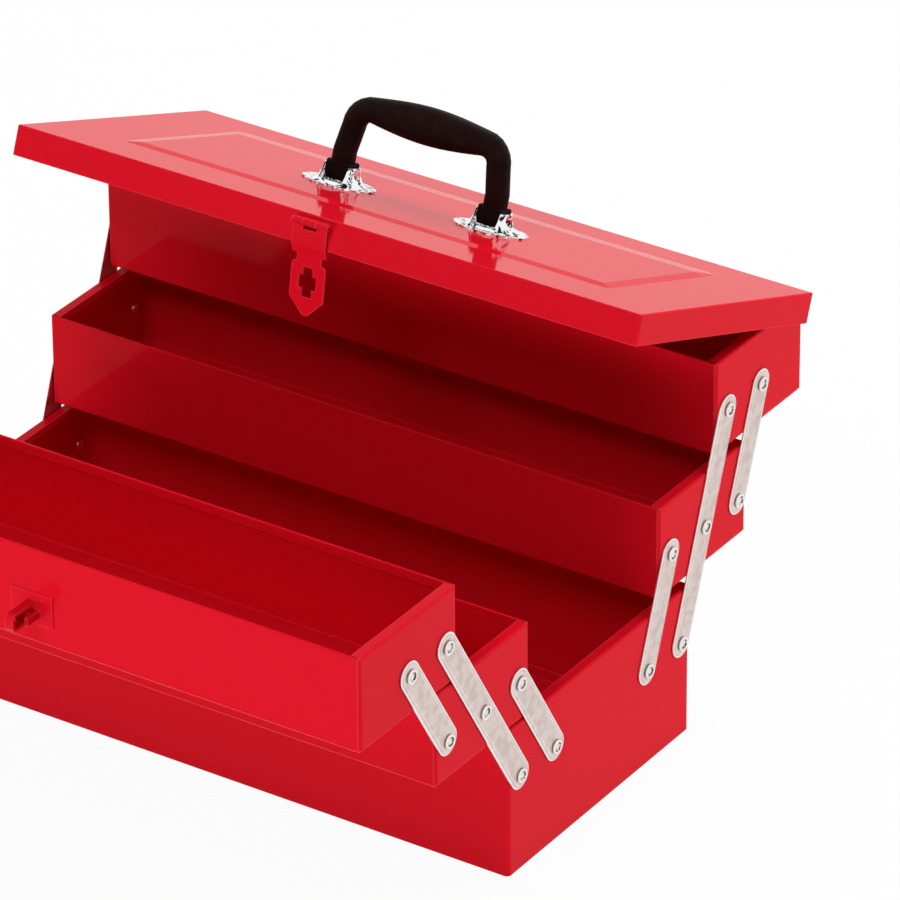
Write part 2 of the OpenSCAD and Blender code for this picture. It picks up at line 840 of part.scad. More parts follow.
// 1 on the legs and 0 on the grip
function leg_share(p) = min(1, max(0, (abs(p[0]) - bend_c[0]) / shoulder_bend_r));
function section_w(p) = grip_end_w + (grip_w - grip_end_w) * grip_share(p)
    + (leg_w - grip_end_w) * leg_share(p);
function section_t(p) = grip_t - (grip_t - leg_t) * 0.25 * (1 - grip_share(p))
    - (grip_t - leg_t) * 0.75 * leg_share(p);

// Point number k round a rounded-square section of size w by t
function section_point(w, t, k) = let (a = 360 * k / ring_n, c = cos(a), s = sin(a), e = 0.8)
    [w / 2 * sign(c) * pow(abs(c), e), t / 2 * sign(s) * pow(abs(s), e)];

function path_normal(i) = let (
        a = full_path[max(0, i - 1)],
        b = full_path[min(len(full_path) - 1, i + 1)],
        d = (b - a) / norm(b - a)
    ) i == 0 || i == len(full_path) - 1 ? [sign(full_path[i][0]), 0]
      : [d[1], -d[0]];

function ring_points(i) = let (p = full_path[i], n = path_normal(i)) [
    for (k = [0 : ring_n - 1]) let (q = section_point(section_w(p), section_t(p), k))
        [p[0] + n[0] * q[0], q[1], p[1] + n[1] * q[0]]
];

module handle() {
    rings = len(full_path);
    points = [for (i = [0 : rings - 1]) each ring_points(i)];
    faces = concat(
        [[for (k = [0 : ring_n - 1]) k]],
        [for (i = [0 : rings - 2], k = [0 : ring_n - 1]) let (m = (k + 1) % ring_n)
            [i * ring_n + k, (i + 1) * ring_n + k, (i + 1) * ring_n + m, i * ring_n + m]],
        [[for (k = [ring_n - 1 : -1 : 0]) (rings - 1) * ring_n + k]]
    );
    color(black_plastic)
        in_lid_frame()
            translate([0, handle_y, deck_z + handle_pivot_h])
                rotate([-handle_lean, 0, 0]) {
                    difference() {
                        union() {
                            polyhedron(points, faces, convexity = 6);
                            for (s = [-1, 1])
                                translate([s * leg_x, 0, 0]) handle_foot();
                        }
                        for (s = [-1, 1])
                            translate([s * leg_x, 0, 0])
                                rotate([0, 90, 0])
                                    cylinder(r = stub_r + pivot_clearance, h = 2 * foot_w, center = true);
                    }
                }
}

// Square block at the bottom of a leg, round below its pivot
module handle_foot() {
    chamfer = 1.4;
    along_x(foot_w)
        polygon([
            [-foot_t / 2, 0], [foot_t / 2, 0], [foot_t / 2, foot_h - chamfer],
            [foot_t / 2 - chamfer, foot_h], [-foot_t / 2 + chamfer, foot_h],
            [-foot_t / 2, foot_h - chamfer]
        ]);
    rotate([0, 90, 0]) cylinder(r = foot_t / 2, h = foot_w, center = true);
}

// ---------- hasp ----------

hasp_knuckle_r = 2.4;
hasp_mid_knuckle = 9.4;
hasp_leaf_h = 10;
// Bottom of the window in the plate, below the pin
hasp_window_z = 4.4;
staple_base_t = 1;

module hasp_leaf() {
    color(paint)
        in_lid_frame()
            translate([hasp_x, hasp_pin_y, hasp_pin_z])
                difference() {
                    union() {
                        translate([-hasp_w / 2, hasp_standoff - sheet_t, -hasp_leaf_h])
                            cube([hasp_w, sheet_t, hasp_leaf_h + hasp_knuckle_r]);
                        rotate([0, 90, 0])
                            cylinder(r = hasp_knuckle_r, h = hasp_mid_knuckle, center = true);
                        translate([-hasp_mid_knuckle / 2, 0, hasp_knuckle_r - sheet_t])
                            cube([hasp_mid_knuckle, hasp_standoff, sheet_t]);
                    }
                    rotate([0, 90, 0]) cylinder(r = hasp_pin_r, h = 2 * hasp_w, center = true);
                }
}

module hasp_pin() {
    pin_head_h = 0.8;
    color(zinc)
        in_lid_frame()
            translate([hasp_x, hasp_pin_y, hasp_pin_z])
                rotate([0, 90, 0]) {
                    cylinder(r = hasp_pin_r, h = hasp_w + 2 * knuckle_gap, center = true);
                    for (s = [-1, 1])
                        translate([0, 0, s * (hasp_w / 2 + knuckle_gap + pin_head_h / 2)])
                            cylinder(r = 1.9, h = pin_head_h, center = true);
                }
}

// Front outline of the plate, pin on z = 0, tip downwards
module hasp_outline() {
    neck_z = -step_start - step_l;
    corner = 1.5;
    tip_r = 4;
    difference() {
        union() {
            translate([-hasp_w / 2, neck_z]) square([hasp_w, -neck_z]);
            translate([-hasp_neck_w / 2, -shoulder_drop - 1])
                square([hasp_neck_w, shoulder_drop + neck_z + 2]);
            polygon([
                [-hasp_w / 2 + corner, -shoulder_drop], [hasp_w / 2 - corner, -shoulder_drop],
                [hasp_w / 2, -shoulder_drop - corner], [hasp_w / 2, -taper_drop],
                [tip_r * 0.8, -hasp_l + tip_r * 0.4], [-tip_r * 0.8, -hasp_l + tip_r * 0.4],
                [-hasp_w / 2, -taper_drop], [-hasp_w / 2, -shoulder_drop - corner]
            ]);
            translate([0, -hasp_l + tip_r]) circle(tip_r);
        }
        translate([-slot_w / 2, -slot_mid - slot_h / 2]) square([slot_w, slot_h]);
        translate([-cross_w / 2, -slot_mid - cross_h / 2]) square([cross_w, cross_h]);
    }
}

// Side profile of the plate: straight, stepped back, straight
module hasp_profile() {
    t = hasp_t;
    a = step_start;
    b = step_back;
    c = step_start + step_l;
    polygon([
        [-t / 2, 0], [t / 2, 0], [t / 2, -a], [b + t / 2, -c],
        [b + t / 2, -hasp_l - past], [b - t / 2, -hasp_l - past], [b - t / 2, -c], [-t / 2, -a]
    ]);
}

module hasp_plate() {
    finger_l = (hasp_w - hasp_mid_knuckle) / 2 - knuckle_gap;
    color(paint)
        in_lid_frame()
            translate([hasp_x, hasp_pin_y, hasp_pin_z])
                rotate([hasp_lean, 0, 0])
                    difference() {
                        union() {
                            intersection() {
                                along_x(hasp_w + past) hasp_profile();
                                along_y(4 * step_back + 4 * hasp_t) hasp_outline();
                            }
                            for (s = [-1, 1])
                                translate([s * (hasp_w - finger_l) / 2, 0, 0])
                                    rotate([0, 90, 0])
                                        cylinder(r = hasp_knuckle_r, h = finger_l, center = true);
                        }
                        rotate([0, 90, 0])
                            cylinder(r = hasp_pin_r + pivot_clearance, h = 2 * hasp_w, center = true);
                        // room for the fixed middle knuckle
                        translate([
                            -hasp_mid_knuckle / 2 - knuckle_gap,
                            -hasp_knuckle_r - past,
                            -hasp_window_z
                        ])
                            cube([
                                hasp_mid_knuckle + 2 * knuckle_gap,
                                2 * (hasp_knuckle_r + past),
                                hasp_window_z + hasp_knuckle_r + past
                            ]);
                    }
}

// ---------- staple ----------

// Height of the guide's middle above the tray's underside, so that it meets the hasp's slot
guide_z = tray_h + rest_gap + sheet_t - hasp_pin_drop - slot_mid;
loop_z = guide_z + loop_rise;

// Side outline of the staple's loop, shrunk by inset
module loop_outline(inset) {
    r = loop_h / 3;
    h = loop_h / 2 - inset;
    translate([-past, loop_z - h]) square([loop_reach - r + past, 2 * h]);
    translate([-past, loop_z - h + r - inset])
        square([loop_reach - inset + past, 2 * h - 2 * (r - inset)]);
    for (z = [loop_z - h + r - inset, loop_z + h - r + inset])
        translate([loop_reach - r, z]) circle(r - inset);
}

// Staple on the upper front tray: base plate, upright loop and the cross guide behind the hasp
module staple() {
    guide_side = (guide_w - loop_w) / 2;
    color(paint)
        at_tray(true, 2)
            translate([hasp_x, 0, 0]) {
                translate([-staple_base_w / 2, 0, loop_z - staple_base_h / 2])
                    cube([staple_base_w, staple_base_t, staple_base_h]);
                intersection() {
                    along_x(loop_w)
                        difference() {
                            loop_outline(0);
                            loop_outline(loop_t);
                        }
                    translate([-loop_w, 0, 0]) cube([2 * loop_w, loop_reach + past, tray_h]);
                }
                for (s = [-1, 1])
                    translate([s * (loop_w + guide_side) / 2, 0, 0])
                        along_x(guide_side)
                            translate([0, guide_z - guide_h / 2]) square([guide_reach, guide_h]);
                // web that joins the guides across the loop
                along_x(guide_w)
                    translate([0, guide_z - guide_h / 2]) square([guide_reach / 2, guide_h]);
            }
}

// ---------- assembly ----------

base_walls();
base_floor();
base_rivets();
color(paint) at_tray(true, 1) tray_channel();  // front_lower_channel
color(paint) mirror([1, 0, 0]) at_tray(true, 1) tray_end(3, 0);  // front_lower_end_left
color(paint) at_tray(true, 1) tray_end(3, 0);  // front_lower_end_right
at_tray(true, 1) translate([0, 0, tray_pivot_h]) panel_rivets(3, 0);  // front_lower_rivets
color(paint) at_tray(true, 2) tray_channel();  // front_upper_channel
color(paint) mirror([1, 0, 0]) at_tray(true, 2) tray_end(2, 1);  // front_upper_end_left
color(paint) at_tray(true, 2) tray_end(2, 1);  // front_upper_end_right
at_tray(true, 2) translate([0, 0, tray_pivot_h]) panel_rivets(2, 1);  // front_upper_rivets
staple();
color(paint) at_tray(false, 1) tray_channel();  // rear_lower_channel
color(paint) mirror([1, 0, 0]) at_tray(false, 1) tray_end(3, 0);  // rear_lower_end_left
color(paint) at_tray(false, 1) tray_end(3, 0);  // rear_lower_end_right
at_tray(false, 1) translate([0, 0, tray_pivot_h]) panel_rivets(3, 0);  // rear_lower_rivets
color(paint) at_tray(false, 2) tray_channel();  // rear_upper_channel
color(paint) mirror([1, 0, 0]) at_tray(false, 2) tray_end(2, 1);  // rear_upper_end_left
color(paint) at_tray(false, 2) tray_end(2, 1);  // rear_upper_end_right
at_tray(false, 2) translate([0, 0, tray_pivot_h]) panel_rivets(2, 1);  // rear_upper_rivets
long_arm(true, false);  // front_long_arm_left
long_arm(true, true);  // front_long_arm_right
inner_arm(true, false);  // front_inner_arm_left
inner_arm(true, true);  // front_inner_arm_right
outer_arm(true, false);  // front_outer_arm_left
outer_arm(true, true);  // front_outer_arm_right
long_arm(false, false);  // rear_long_arm_left
long_arm(false, true);  // rear_long_arm_right
inner_arm(false, false);  // rear_inner_arm_left
inner_arm(false, true);  // rear_inner_arm_right
outer_arm(false, false);  // rear_outer_arm_left
outer_arm(false, true);  // rear_outer_arm_right
lid_shell();
hinge_tray_leaves();
hinge_lid_leaves();
hinge_pins();
handle_bracket(-1);  // handle_bracket_left
handle_bracket(1);  // handle_bracket_right
bracket_rivets();
handle();
handle_pins();
hasp_leaf();
hasp_pin();
hasp_plate();
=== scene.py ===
# %% [markdown]
# # A five-tray cantilever tool box
# The real object is folded from thin sheet steel, enamelled red, and hung together with riveted
# steel arms. Its solids come ready from the frame, so this lesson dresses them: each cell names a
# finish, says what the eye should find there, and gives it to the pieces that wear it.

# %% Load the frame
import json
import math

import bmesh
import bpy
from mathutils import Matrix, Vector


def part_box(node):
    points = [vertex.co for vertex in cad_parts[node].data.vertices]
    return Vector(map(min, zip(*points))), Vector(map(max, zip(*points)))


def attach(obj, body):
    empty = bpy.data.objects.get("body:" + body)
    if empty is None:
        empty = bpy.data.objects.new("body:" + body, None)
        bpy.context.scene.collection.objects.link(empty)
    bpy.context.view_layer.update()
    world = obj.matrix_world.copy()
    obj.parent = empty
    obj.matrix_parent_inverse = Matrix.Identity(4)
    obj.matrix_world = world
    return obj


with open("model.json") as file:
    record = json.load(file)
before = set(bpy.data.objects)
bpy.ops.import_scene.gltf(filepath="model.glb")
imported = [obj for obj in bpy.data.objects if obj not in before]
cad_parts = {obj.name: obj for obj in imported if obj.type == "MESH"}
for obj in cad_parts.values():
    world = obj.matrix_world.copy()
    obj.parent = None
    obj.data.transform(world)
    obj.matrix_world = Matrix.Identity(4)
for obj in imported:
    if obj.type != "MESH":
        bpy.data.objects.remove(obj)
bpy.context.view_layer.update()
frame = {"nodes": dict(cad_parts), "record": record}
nodes = frame["nodes"]

# %% [markdown]
# ## The camera
# A long lens far away keeps the box's edges almost parallel, as in a catalogue picture. It could be
# aimed with a Track To constraint, but a matrix made from two angles and a small roll says exactly
# where it looks, with nothing left to evaluate.

# %% Camera
CAMERA_PLACE = (2.3694, -3.3677, 2.5159)
CAMERA_YAW = math.radians(33.726)
CAMERA_PITCH = math.radians(-29.604)
CAMERA_ROLL = math.radians(-0.457)
LENS_MM = 306.1
SENSOR_MM = 36.0

forward = Vector((
    -math.sin(CAMERA_YAW) * math.cos(CAMERA_PITCH),
    math.cos(CAMERA_YAW) * math.cos(CAMERA_PITCH),
    math.sin(CAMERA_PITCH),
))
level_right = Vector((math.cos(CAMERA_YAW), math.sin(CAMERA_YAW), 0.0))
level_up = level_right.cross(forward)
right = level_right * math.cos(CAMERA_ROLL) + level_up * math.sin(CAMERA_ROLL)
up = -level_right * math.sin(CAMERA_ROLL) + level_up * math.cos(CAMERA_ROLL)
camera_axes = Matrix((right, up, -forward)).transposed().to_4x4()

lens = bpy.data.cameras.new("studio_camera")
lens.sensor_fit = "HORIZONTAL"
lens.sensor_width = SENSOR_MM
lens.lens = LENS_MM
lens.clip_end = 50.0
camera = bpy.data.objects.new("studio_camera", lens)
camera.matrix_world = Matrix.Translation(CAMERA_PLACE) @ camera_axes
bpy.context.scene.collection.objects.link(camera)
bpy.context.scene.camera = camera
print("camera looks along", [round(v, 3) for v in forward])

# %% [markdown]
# ## Colours and nodes
# Colours are written the way a paint chart gives them, as sRGB hex values. Blender calculates in
# linear light, so one function converts them. One more adds a shader node with its settings and
# its links, so that each finish below reads as a short list.

# %% Helpers
def linear(hex_colour):
    """Linear RGBA from an sRGB hex value such as 'DC1124'."""
    values = [int(hex_colour[i:i + 2], 16) / 255 for i in (0, 2, 4)]
    return [v / 12.92 if v <= 0.04045 else ((v + 0.055) / 1.055) ** 2.4 for v in values] + [1.0]


def add(tree, kind, settings):
    """Adds a node. Settings are attributes, or sockets by name or number with a value or a feed."""
    node = tree.nodes.new(kind)
    for key, value in settings.items():
        if isinstance(key, str) and key not in node.inputs:
            setattr(node, key, value)
        elif isinstance(value, bpy.types.NodeSocket):
            tree.links.new(value, node.inputs[key])
        else:
            node.inputs[key].default_value = value
    return node


def new_material(name):
    """An empty node material and its tree."""
    material = bpy.data.materials.new(name)
    material.use_nodes = True
    material.node_tree.nodes.clear()
    return material, material.node_tree


print("middle grey in linear light:", [round(v, 3) for v in linear("808080")])

# %% [markdown]
# ## The room
# The box stands on white card in a white room. To the eye, and in whatever mirrors it, the card is
# nearly pure white, and a trace of the lamps' light on it keeps the shadow that sits the box down.
# More lamps could whiten it instead, but they would bleach the box as well. For the light that it
# throws back on the box it stays plain matt card. The Light Path node tells these two cases apart.

# %% Floor
FLOOR_SIDE = 12.0
CARD_WHITE = "F2F2F2"
CARD_OWN_WHITE = 0.96


def seen_directly(tree):
    """1 where the eye, a mirror or clear glass looks straight at the surface, and 0 for its light."""
    path = add(tree, "ShaderNodeLightPath", {})
    eye_or_mirror = add(tree, "ShaderNodeMath", {
        "operation": "MAXIMUM", 0: path.outputs["Is Camera Ray"], 1: path.outputs["Is Glossy Ray"]})
    or_glass = add(tree, "ShaderNodeMath", {
        "operation": "MAXIMUM", 0: eye_or_mirror.outputs[0], 1: path.outputs["Is Transmission Ray"]})
    return or_glass.outputs[0]


def white_card():
    """Matt card that is nearly its own white where it is looked at."""
    material, tree = new_material("matt_white_card")
    card = add(tree, "ShaderNodeBsdfPrincipled", {
        "Base Color": linear(CARD_WHITE), "Roughness": 0.9, "Specular IOR Level": 0.0})
    pure_white = add(tree, "ShaderNodeEmission", {"Color": linear("FFFFFF"), "Strength": 1.0})
    share = add(tree, "ShaderNodeMath", {
        "operation": "MULTIPLY", 0: seen_directly(tree), 1: CARD_OWN_WHITE})
    both = add(tree, "ShaderNodeMixShader", {
        "Fac": share.outputs[0], 1: card.outputs[0], 2: pure_white.outputs[0]})
    add(tree, "ShaderNodeOutputMaterial", {"Surface": both.outputs[0]})
    return material


half_side = FLOOR_SIDE / 2
floor_corners = [(x * half_side, y * half_side, 0) for x, y in ((-1, -1), (1, -1), (1, 1), (-1, 1))]
floor_mesh = bpy.data.meshes.new("studio_floor")
floor_mesh.from_pydata(floor_corners, [], [(0, 1, 2, 3)])
floor_mesh.materials.append(white_card())
floor = bpy.data.objects.new("studio_floor", floor_mesh)
bpy.context.scene.collection.objects.link(floor)
print("floor is", FLOOR_SIDE, "m wide")

# %% [markdown]
# ## The walls of the room
# The world stands for white walls, which the eye and the mirrors see. A world can also light the
# scene, which is the quickest soft light there is, but it comes from every side and flattens folded
# sheet. Here it gives none, and the lamps do all the lighting. The Standard view shows a colour as
# it is written, where a film-like view would turn the white card grey.

# %% World
world = bpy.data.worlds.new("white_studio")
world.use_nodes = True
world_tree = world.node_tree
world_tree.nodes.clear()
no_light = add(world_tree, "ShaderNodeBackground", {"Color": linear("FFFFFF"), "Strength": 0.0})
white_walls = add(world_tree, "ShaderNodeBackground", {"Color": linear("FFFFFF"), "Strength": 1.0})
walls = add(world_tree, "ShaderNodeMixShader", {
    "Fac": seen_directly(world_tree), 1: no_light.outputs[0], 2: white_walls.outputs[0]})
add(world_tree, "ShaderNodeOutputWorld", {"Surface": walls.outputs[0]})
bpy.context.scene.world = world
bpy.context.scene.view_settings.view_transform = "Standard"
print("world nodes:", len(world_tree.nodes))

# %% [markdown]
# ## The lamps
# Six soft boxes light the box. Two low strips stand in front and one at the right, so the outer faces
# are bright while the walls behind the front trays stay in shade. Two large panels hang over the lid
# and behind it, and a small one in front and above reaches into the trays. Sun lamps would need no
# placing, but they cut hard shadows. The enamel mirrors the white card and not the lamps.

# %% Soft boxes
AIM = Vector((0.0, -0.02, 0.15))
SOFT_BOXES = (  # name, place, width and height in metres, watts
    ("front_strip", (-0.1, -3.0, 0.14), 2.0, 0.2, 25),
    ("front_left_strip", (-1.2, -2.8, 0.3), 1.2, 0.3, 19),
    ("side_strip", (2.9, 0.45, 0.24), 1.2, 0.4, 32.5),
    ("lid_panel", (0.1, 0.9, 2.6), 3.0, 2.0, 23),
    ("lid_back_panel", (0.1, 1.9, 2.0), 3.4, 2.8, 69),
    ("tray_panel", (0.0, -1.5, 2.2), 0.9, 0.9, 21),
)


def soft_box(name, place, wide, high, watts):
    """An area lamp at a place, facing the tool box."""
    lamp = bpy.data.lights.new(name, "AREA")
    lamp.shape = "RECTANGLE"
    lamp.size = wide
    lamp.size_y = high
    lamp.energy = watts
    lamp_object = bpy.data.objects.new(name, lamp)
    lamp_object.location = place
    lamp_object.rotation_euler = (AIM - Vector(place)).to_track_quat("-Z", "Y").to_euler()
    lamp_object.visible_glossy = False
    bpy.context.scene.collection.objects.link(lamp_object)


for name, place, wide, high, watts in SOFT_BOXES:
    soft_box(name, place, wide, high, watts)
print("soft boxes:", [name for name, *_ in SOFT_BOXES])

# %% [markdown]
# ## Finding the edges
# Edges catch the light, so a paler colour is painted along them: a painted highlight. The Bevel node
# looks a short way round every point and averages what it meets, so where its answer leans away from
# the true face, an edge is near. Pointiness would be quicker, but it needs a fine mesh, and folded
# sheet has large flat faces. The lean is measured by its cosine, which is 1 on a flat face.

# %% Edge finder
MM = 0.001


def near_edge(tree, reach_mm, starts_at, full_at):
    """0 on a flat face, rising to 1 within reach_mm of an edge. The last two are cosines."""
    rounded = add(tree, "ShaderNodeBevel", {"samples": 6, "Radius": reach_mm * MM})
    face = add(tree, "ShaderNodeNewGeometry", {})
    lean = add(tree, "ShaderNodeVectorMath", {
        "operation": "DOT_PRODUCT", 0: rounded.outputs[0], 1: face.outputs["True Normal"]})
    edge = add(tree, "ShaderNodeMapRange", {
        "From Min": starts_at, "From Max": full_at, "Value": lean.outputs["Value"]})
    return edge.outputs[0]


print("a lean of 16 degrees has the cosine", round(math.cos(math.radians(16)), 2))

# %% [markdown]
# ## Red enamel
# The sheet is sprayed with alkyd enamel and baked. The film levels out to a mirror that still shows
# the finest ripple, like orange peel. A paler red is painted on folded edges and rims, a painted
# highlight for the light they catch. A painted texture could give all this, but noise at the real
# size of the ripple keeps sharp at any distance and needs no unwrapping. A typical enamel has an
# IOR near 1.5.
# Between white walls that would veil the deep red, so it is matched down until only glancing faces,
# such as the lid, turn pale.

# %% Enamel
ENAMEL_RED = "DC1124"
# Painted highlight: the paler red below and its reach are painted on edges and rims for the light they
# catch.
EDGE_HIGHLIGHT_RED = "EA4854"
EDGE_HIGHLIGHT_MM = 1.1
EDGE_HIGHLIGHT_FROM = 0.96
EDGE_HIGHLIGHT_FULL = 0.78
ORANGE_PEEL_MM = 2.4
PEEL_DEPTH_MM = 0.2


def enamel(name, sheet_facing=None):
    """Baked red enamel. sheet_facing, where given, says which way the sheet under the film faces."""
    material, tree = new_material(name)
    # Painted highlight: a paler red is mixed in near every edge and rim.
    edge_highlight_mask = near_edge(tree, EDGE_HIGHLIGHT_MM, EDGE_HIGHLIGHT_FROM, EDGE_HIGHLIGHT_FULL)
    colour = add(tree, "ShaderNodeMix", {
        "data_type": "RGBA", 0: edge_highlight_mask, 6: linear(ENAMEL_RED), 7: linear(EDGE_HIGHLIGHT_RED)})
    place = add(tree, "ShaderNodeTexCoord", {}).outputs["Object"]
    peel = add(tree, "ShaderNodeTexNoise", {
        "Scale": 1 / (ORANGE_PEEL_MM * MM), "Detail": 1.0, "Vector": place})
    ripple = add(tree, "ShaderNodeBump", {
        "Strength": 0.02, "Distance": PEEL_DEPTH_MM * MM, "Height": peel.outputs["Fac"]})
    if sheet_facing:
        tree.links.new(sheet_facing(tree, place), ripple.inputs["Normal"])
    film = add(tree, "ShaderNodeBsdfPrincipled", {
        "Roughness": 0.08, "IOR": 1.11, "Base Color": colour.outputs[2], "Normal": ripple.outputs[0]})
    add(tree, "ShaderNodeOutputMaterial", {"Surface": film.outputs[0]})
    return material


red_enamel = enamel("baked_red_enamel")
print(red_enamel.name, "nodes:", len(red_enamel.node_tree.nodes))

# %% [markdown]
# ## Where the lid stands
# The lid is drawn a little open, so its own directions are needed: up from its top, and back to its
# hinges. They could be read from its faces, but the record already gives the hinge's range. Its lower
# limit is the shut lid, so that angle is how far the lid leans back now.

# %% Directions of the lid
joint_of = {joint["name"]: joint for joint in frame["record"]["behaviour"]["joints"]}
handle_pivot = Vector(joint_of["handle_swing"]["pos_m"])
lid_tilt = math.radians(-joint_of["lid_hinge"]["range_deg"][0])
lid_up = Vector((0.0, math.sin(lid_tilt), math.cos(lid_tilt)))
lid_back = Vector((0.0, math.cos(lid_tilt), -math.sin(lid_tilt)))
print("lid leans back by", round(math.degrees(lid_tilt), 2), "degrees")

# %% [markdown]
# ## The lid's pressed panel
# The lid's middle is pressed up by a millimetre, and a short slope runs down from it all round. The
# panel and its slope are in the solid, so only their sizes are needed here, to find the rear slope.
# Everything is measured in the lid's own space, so the finish stays put when the lid swings.

# %% Rear slope of the panel
LID_DEPTH_MM = 216.5
PANEL_REAR_MARGIN_MM = 38.0
PANEL_SLOPE_MM = 8.0
PANEL_RISE_MM = 1.0
PANEL_HALF_LENGTH_MM = 182.9
SLOPE_HALF_MM = PANEL_SLOPE_MM / 2

to_lid = nodes["lid_shell"].matrix_world.inverted()
back_in_lid = (to_lid.to_3x3() @ lid_back).normalized()
slope_behind_pivot = (LID_DEPTH_MM / 2 - PANEL_REAR_MARGIN_MM - SLOPE_HALF_MM) * MM
slope_middle = back_in_lid.dot(to_lid @ handle_pivot) + slope_behind_pivot
print("rear slope lies", round(slope_behind_pivot / MM, 2), "mm behind the handle's pivot")

# %% [markdown]
# ## The soft rear shoulder
# Behind the panel the sheet springs back from the press, so the shoulder there is wider and softer
# than a true fold, and it mirrors the bright room in a broader line. On the two flats beside the rear
# slope, the direction that the surface faces is leaned back by most of the slope's own angle. A bump
# map could do it too, but it would need a height for the whole lid. The first helper finds those
# flats, and the second leans them.

# %% Rear shoulder
SHOULDER_MM = 3.5
SOFT_MM = 1.0
LEAN_SHARE = 0.7


def shoulder_share(tree, place):
    """1 on the flats in front of and behind the slope, and 0 on the slope and the rest of the lid."""
    along = add(tree, "ShaderNodeVectorMath", {"operation": "DOT_PRODUCT", 0: place, 1: back_in_lid})
    from_slope = add(tree, "ShaderNodeMath", {
        "operation": "SUBTRACT", 0: along.outputs["Value"], 1: slope_middle})
    away = add(tree, "ShaderNodeMath", {"operation": "ABSOLUTE", 0: from_slope.outputs[0]})
    off_slope = add(tree, "ShaderNodeMapRange", {
        "From Min": SLOPE_HALF_MM * MM,
        "From Max": (SLOPE_HALF_MM + SOFT_MM) * MM, "Value": away.outputs[0]})
    in_reach = add(tree, "ShaderNodeMapRange", {
        "From Min": (SLOPE_HALF_MM + SHOULDER_MM + SOFT_MM) * MM,
        "From Max": (SLOPE_HALF_MM + SHOULDER_MM - SOFT_MM) * MM, "Value": away.outputs[0]})
    sides = add(tree, "ShaderNodeSeparateXYZ", {"Vector": place})
    aside = add(tree, "ShaderNodeMath", {"operation": "ABSOLUTE", 0: sides.outputs["X"]})
    in_length = add(tree, "ShaderNodeMapRange", {
        "From Min": PANEL_HALF_LENGTH_MM * MM,
        "From Max": (PANEL_HALF_LENGTH_MM - PANEL_SLOPE_MM) * MM, "Value": aside.outputs[0]})
    band = add(tree, "ShaderNodeMath", {
        "operation": "MULTIPLY", 0: off_slope.outputs[0], 1: in_reach.outputs[0]})
    share = add(tree, "ShaderNodeMath", {
        "operation": "MULTIPLY", 0: band.outputs[0], 1: in_length.outputs[0]})
    return share.outputs[0]


def rear_shoulder(tree, place):
    """The way the lid's sheet faces, with the soft shoulder behind the raised panel."""
    lean = add(tree, "ShaderNodeVectorTransform", {
        "vector_type": "VECTOR", "convert_from": "OBJECT", "convert_to": "WORLD",
        "Vector": back_in_lid * LEAN_SHARE * PANEL_RISE_MM / PANEL_SLOPE_MM})
    leaned = add(tree, "ShaderNodeVectorMath", {
        "operation": "SCALE", 0: lean.outputs[0], "Scale": shoulder_share(tree, place)})
    face = add(tree, "ShaderNodeNewGeometry", {})
    both = add(tree, "ShaderNodeVectorMath", {
        "operation": "ADD", 0: face.outputs["Normal"], 1: leaned.outputs[0]})
    unit = add(tree, "ShaderNodeVectorMath", {"operation": "NORMALIZE", 0: both.outputs[0]})
    return unit.outputs[0]


lid_enamel = enamel("baked_red_enamel_of_the_lid", rear_shoulder)
print(lid_enamel.name, "nodes:", len(lid_enamel.node_tree.nodes))

# %% [markdown]
# ## Zinc-plated steel
# Arms and hinge leaves are stamped from strip, their long edges struck down by a press, and then
# tumbled in a zinc bath. The flats keep a silvery, slightly warm skin with faint cloudy patches. The
# struck edges catch the light, so nearly white is painted on them as a painted highlight. The rim of
# each flat is found as the enamel's edges are, but a very small lean is enough.

# %% Zinc plate
ZINC_LIGHT = "DCCDC7"
ZINC_CLOUD = "CFBDB6"
# Painted highlight: the white below and the edge reach after it are painted on the struck edges for the
# light they catch.
ZINC_EDGE_HIGHLIGHT = "FFFFFF"
CLOUD_MM = 7.0
CLOUD_FROM = 0.42
CLOUD_FULL = 0.62
ZINC_HIGHLIGHT_MM = 2.0
ZINC_HIGHLIGHT_FROM = 0.998
ZINC_HIGHLIGHT_FULL = 0.975


def zinc_plate():
    """Zinc-plated strip with cloudy flats and a painted highlight on its edges."""
    material, tree = new_material("zinc_plated_strip")
    place = add(tree, "ShaderNodeTexCoord", {}).outputs["Object"]
    cloud = add(tree, "ShaderNodeTexNoise", {
        "Scale": 1 / (CLOUD_MM * MM), "Detail": 3.0, "Vector": place})
    patch = add(tree, "ShaderNodeMapRange", {
        "From Min": CLOUD_FROM, "From Max": CLOUD_FULL, "Value": cloud.outputs["Fac"]})
    flat = add(tree, "ShaderNodeMix", {
        "data_type": "RGBA", 0: patch.outputs[0], 6: linear(ZINC_LIGHT), 7: linear(ZINC_CLOUD)})
    # Painted highlight: nearly white is mixed in near every edge of the strip.
    zinc_highlight_mask = near_edge(tree, ZINC_HIGHLIGHT_MM, ZINC_HIGHLIGHT_FROM, ZINC_HIGHLIGHT_FULL)
    colour = add(tree, "ShaderNodeMix", {
        "data_type": "RGBA", 0: zinc_highlight_mask, 6: flat.outputs[2], 7: linear(ZINC_EDGE_HIGHLIGHT)})
    plate = add(tree, "ShaderNodeBsdfPrincipled", {
        "Metallic": 1.0, "Roughness": 0.34, "Base Color": colour.outputs[2]})
    add(tree, "ShaderNodeOutputMaterial", {"Surface": plate.outputs[0]})
    return material


arm_zinc = zinc_plate()
print(arm_zinc.name, "nodes:", len(arm_zinc.node_tree.nodes))

# %% [markdown]
# ## Rivets
# The rivets are the same plated steel, but the snap that closes them leaves a dished head. Dark
# patches are painted in the dish as painted shade, for the shade and dark reflections it holds.
# Ambient Occlusion, kept to the rivet's own surface, finds the dish, and noise breaks the ring of
# painted shade into patches.

# %% Rivets
RIVET_STEEL = "F0ECE8"
